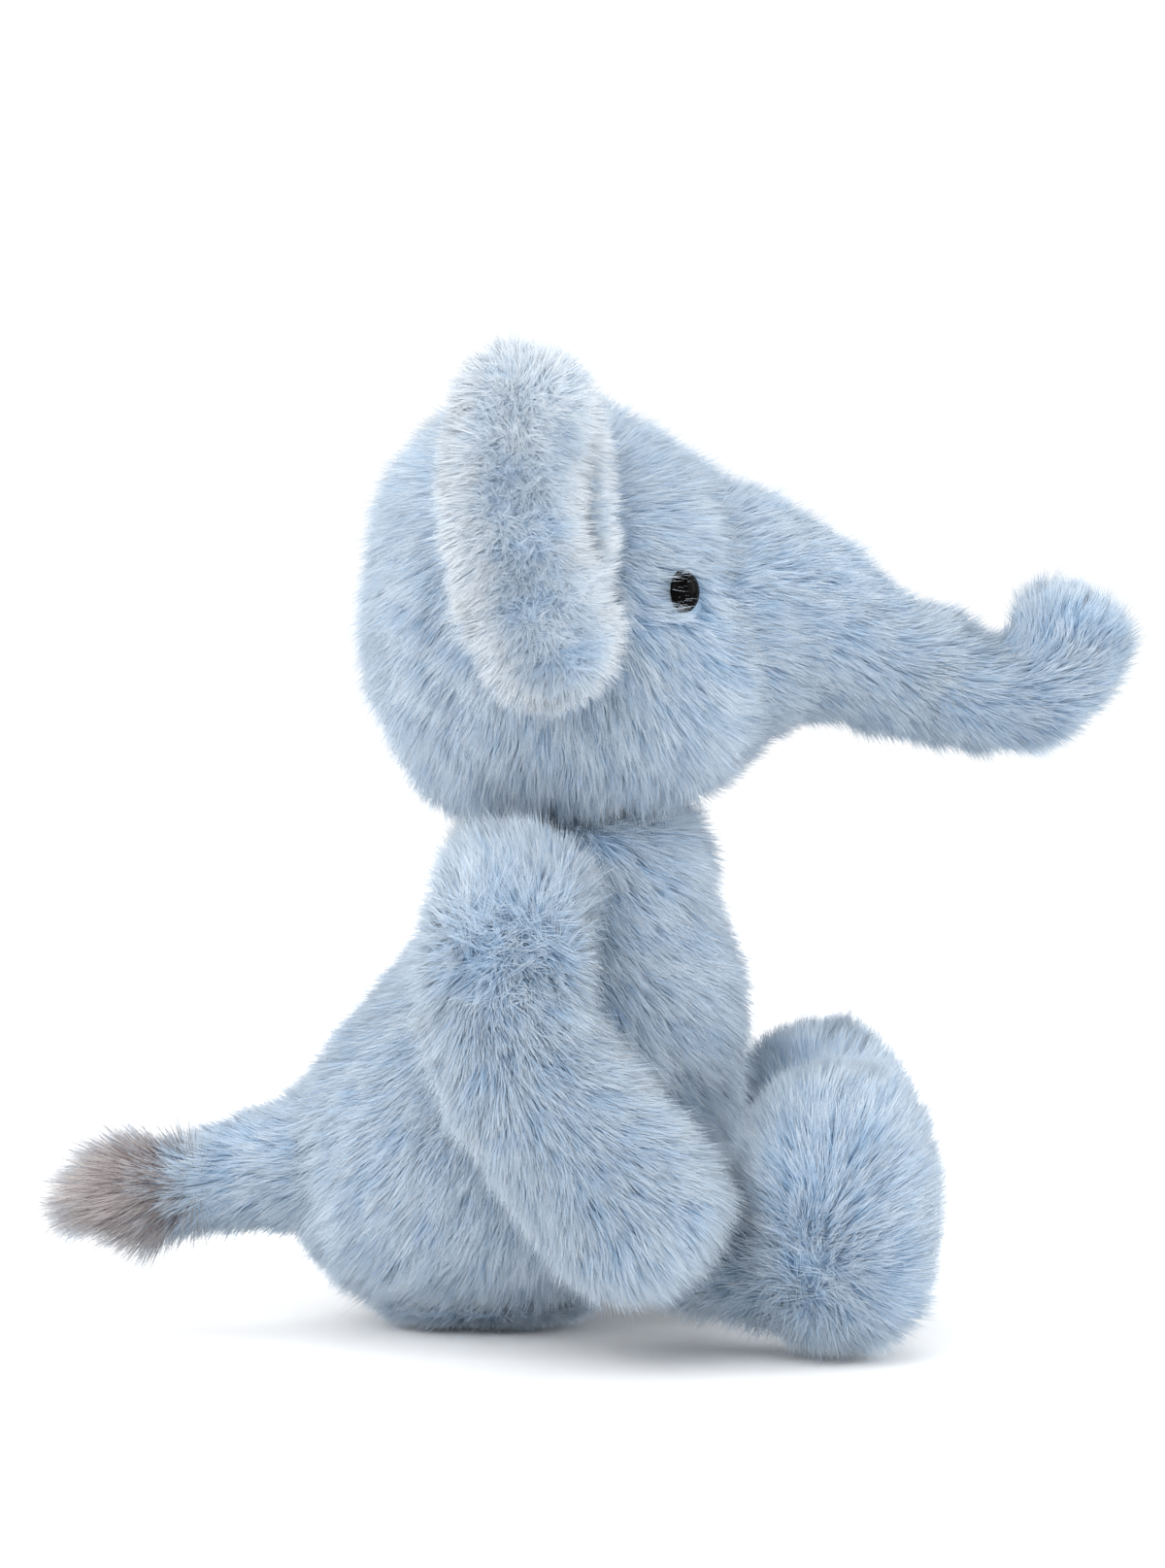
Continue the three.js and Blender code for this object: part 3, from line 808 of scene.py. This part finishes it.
def build_ears():
    """The ears: short dense pile, with painted rim light round the outline and a painted highlight on the
    fold, and deep in the middle.
    """
    line = spline(EAR_POINTS, np.linspace(0, 1, LINE_STEPS))
    fold_depth = 3.2

    def make(name, depth):
        """The paddle, with the fold on its skin only."""
        parts = [tube("paddle", EAR_POINTS, EAR_ENDS, depth)]
        if depth == EAR_PILE:
            parts.append(tube("fold", EAR_FOLD_POINTS, (1, 1), fold_depth))
        ear = fused(name, parts, 1.3, 4)
        set_points(ear, ear_place(points_of(ear)))
        return ear

    def across(co):
        """Where points lie on the paddle: their way from its middle line, and how near its outline."""
        local = ear_place(co, back=True)
        gap = local[:, None] - line[None, :, :3]
        nearest = (gap**2).sum(2).argmin(1)
        way = gap[np.arange(len(co)), nearest] * np.array([1, 0, 1])
        return way, np.linalg.norm(way, axis=1) / (line[nearest, 4] - EAR_PILE), local

    # Painted light: the outline is paled as painted rim light, the fold as a painted highlight, and the rest
    # is left a little deeper.
    def pale(co):
        way, out, local = across(co)
        fold = (local[:, 1] > 0.5) & (local[:, 0] > -9) & (local[:, 2] > 20)
        rim = np.maximum(np.clip((out - 0.45) / 0.45, 0, 1), np.clip((local[:, 2] - 60) / 14, 0, 1) * 0.75)
        return np.where(fold, 0.55, rim * 0.95 - 0.08)

    def lit(co):
        """Shading that turns towards the outline of the ear near its edge."""
        way, out, local = across(co)
        return unit(ear_place(way, turn_only=True)) * np.clip((out - 0.4) / 0.5, 0, 1)[:, None] * 0.5

    def nap(co):
        way, out, local = across(co)
        turned = ear_place(way, turn_only=True)
        return unit(turned) * np.clip(out, 0.1, 1)[:, None] + np.array([0.0, 0, -0.2])

    def length(co):
        way, out, local = across(co)
        return np.where(local[:, 0] > -7, 5.5, 5.0 + 2.2 * np.clip(out, 0, 1))

    both_sides(
        "ear", make, "ear", ["ear_outer_{}", "ear_lining_{}"], ["ear_wadding_{}"], 63, EAR_PILE, nap,
        pale=pale, length=length, lean=40, look=1.5, rough=0.28, density=12, thick=0.24, clump=0.14,
        fuzz=0.36, material=EAR_FUR, backing=EAR_BACKING, lit=lit,
    )


def build_tail():
    """The tail, and its tuft of longer pile, which is darkest where it starts."""
    stuffed(
        "tail", lambda name, depth: tube(name, TAIL_POINTS, (1, 0.1), depth), "tail", two_covers("tail"),
        ["tail_filling"], 71, TAIL_PILE, nap=towards(-1, 0, -0.15), length=9, lean=50,
    )
    core = outward(tube("tail_tuft_core", TUFT_POINTS, (1, 1), TUFT_PILE, 30, 24))
    middle = TUFT_POINTS[1][0]
    tuft = coat(
        "tail_tuft_fur", core, towards(-1, 0, -0.12), 18, 58, 75, look=1.6, density=12, thick=0.22, fuzz=1.3,
        pale=lambda co: -0.15 - (co[:, 0] - middle) * 0.02, material=TUFT_FUR, slot="tuft",
    )
    attach(tuft, "tail")
    finish_soft(core, TUFT_BACKING, ["tail_tuft"])
    attach([core], "tail")


def build_seat():
    """The flat seat panel, the bean bag above it and the neck's plug."""
    panel = outward(loft("seat_panel_plush", SEAT_ROWS, 0, 60, 20))
    attach(coat("seat_panel_fur", panel, lambda co: co - np.array([-24, 0, 2.0]), 5, 58, 81), "torso")
    finish_soft(panel, BACKING, ["seat_panel"])
    beans = lumpy(outward(loft("bean_bag_cloth", BEAN_BAG_ROWS, 0, 60, 30)), STUFFING_LUMPS, 82)
    finish_soft(beans, BEAN_CLOTH, ["seat_bean_bag"])
    attach([panel, beans], "torso")
    x, y, z = pivot("neck_nod")
    plug = [
        (x, y, z + h, NECK_PLUG_RADIUS - drawn, NECK_PLUG_RADIUS - drawn)
        for h, drawn in ((-NECK_PLUG_HALF, 0.6), (0, 0), (NECK_PLUG_HALF, 0.6))
    ]
    neck = lumpy(outward(tube("neck_stuffing", plug, (0.8, 0.8))), 0.5, 83)
    finish_soft(neck, STUFFING, ["neck_plug"])
    attach([neck], "neck")


def turned(name, profile, around=48):
    """A round solid turned about Z from points of radius and height, closed on the axis."""
    angle = np.linspace(0, TAU, around, endpoint=False)
    rings = [np.stack([r * np.cos(angle), r * np.sin(angle), np.full(around, h)], 1) for r, h in profile]
    return rings_mesh(name, rings)


def build_eyes():
    """Glossy domed beads on shanks, with their locking washers inside the head."""
    arc = np.linspace(0, math.pi / 2, 14)
    dome = [(EYE_RADIUS * math.cos(a), EYE_HEIGHT * math.sin(a)) for a in arc]
    bead = [*EYE_SHANK, *dome[:-1], (0.15, EYE_HEIGHT)]
    forward = math.radians(EYE_FORWARD)
    for side, sign in (("right", -1), ("left", 1)):
        aim = Vector((math.sin(forward), sign * math.cos(forward), 0.05)).normalized()
        turn = np.array(aim.to_track_quat("Z", "Y").to_matrix())
        middle = np.array([EYE_MIDDLE[0], -sign * EYE_MIDDLE[1], EYE_MIDDLE[2]])
        for part, profile, material, slot, node in (
            ("bead", bead, BEAD, "eye", "eye"),
            ("washer", EYE_WASHER, WASHER, "washer", "eye_washer"),
        ):
            obj = outward(turned(f"eye_{part}_{side}", profile))
            set_points(obj, (points_of(obj) @ turn.T + middle) * MM)
            obj.data.materials.append(material)
            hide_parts(f"{node}_{side}")
            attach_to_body(obj, "head")


# ---------------------------------------------------------------------------------------------
# Camera, floor and lights
# ---------------------------------------------------------------------------------------------

# In metres: the middle of the picture, how far away the camera stands, and the height that it sees there
VIEW_MIDDLE = Vector((0.0002, 0, 0.1338))
DISTANCE, PICTURE_HEIGHT = 1.3, 0.3828
# How far above level the camera stands, in degrees
ELEVATION = 4.0
LIGHTS_AIM = Vector((0, 0, 0.12))
# Name, place in metres, size in metres and power in watts of each soft light
SOFT_LIGHTS = [
    ("key", (-0.6, -1.1, 0.8), 0.7, 6.5),
    ("front", (1.2, -0.42, 0.27), 0.08, 2.2),
    ("rim_left", (-1.3, 0.1, 0.5), 0.9, 6.5),
    ("rim_right", (1.3, 0.1, 0.5), 0.9, 8),
    ("top", (0.0, 0.3, 1.5), 0.9, 6),
]
FLOOR_HALF = 4.0


def build_camera():
    data = bpy.data.cameras.new("camera")
    data.sensor_width = 36
    data.lens = data.sensor_width * DISTANCE / PICTURE_HEIGHT
    data.clip_start, data.clip_end = 0.05, 20
    camera = bpy.data.objects.new("camera", data)
    bpy.context.collection.objects.link(camera)
    rise = math.radians(ELEVATION)
    camera.location = VIEW_MIDDLE + Vector((0, -math.cos(rise), math.sin(rise))) * DISTANCE
    camera.rotation_euler = (VIEW_MIDDLE - camera.location).to_track_quat("-Z", "Y").to_euler()
    bpy.context.scene.camera = camera


def build_floor():
    mesh = bpy.data.meshes.new("floor")
    corners = [(x * FLOOR_HALF, y * FLOOR_HALF, 0) for x, y in ((-1, -1), (1, -1), (1, 1), (-1, 1))]
    mesh.from_pydata(corners, [], [(0, 1, 2, 3)])
    floor = bpy.data.objects.new("floor", mesh)
    bpy.context.collection.objects.link(floor)
    material, tree, shader = new_material("floor_white", 0.9)
    shader.inputs["Base Color"].default_value = (0.95, 0.95, 0.95, 1)
    mesh.materials.append(material)


def build_soft_light(name, place, size, power):
    data = bpy.data.lights.new(name, "AREA")
    data.shape, data.size, data.energy = "SQUARE", size, power
    light = bpy.data.objects.new(name, data)
    bpy.context.collection.objects.link(light)
    light.location = place
    light.rotation_euler = (LIGHTS_AIM - light.location).to_track_quat("-Z", "Y").to_euler()


def build_sky_light():
    """A wide, soft light from above and in front."""
    data = bpy.data.lights.new("sky", "SUN")
    data.energy, data.angle = 1.2, math.radians(60)
    sky = bpy.data.objects.new("sky", data)
    bpy.context.collection.objects.link(sky)
    sky.rotation_euler = Vector((0.25, 1.0, -0.85)).to_track_quat("-Z", "Y").to_euler()


def build_world():
    """White surroundings, a little brighter behind the elephant."""
    world = bpy.data.worlds.new("studio")
    bpy.context.scene.world = world
    world.use_nodes = True
    tree = world.node_tree
    background = tree.nodes["Background"]
    background.inputs[0].default_value = (1, 1, 1, 1)
    way = tree.nodes.new("ShaderNodeTexCoord")
    split = tree.nodes.new("ShaderNodeSeparateXYZ")
    tree.links.new(way.outputs["Generated"], split.inputs[0])
    strength = tree.nodes.new("ShaderNodeMapRange")
    for name, value in (("From Min", -0.5), ("From Max", 0.5), ("To Min", 0.7), ("To Max", 1.05)):
        strength.inputs[name].default_value = value
    tree.links.new(split.outputs["Y"], strength.inputs[0])
    tree.links.new(strength.outputs[0], background.inputs[1])


def build_studio():
    build_camera()
    build_floor()
    for light in SOFT_LIGHTS:
        build_soft_light(*light)
    build_sky_light()
    build_world()
    bpy.context.scene.view_settings.view_transform = "Standard"


build_torso()
build_head()
build_trunk()
build_arms()
build_legs()
build_ears()
build_tail()
build_seat()
build_eyes()
build_studio()
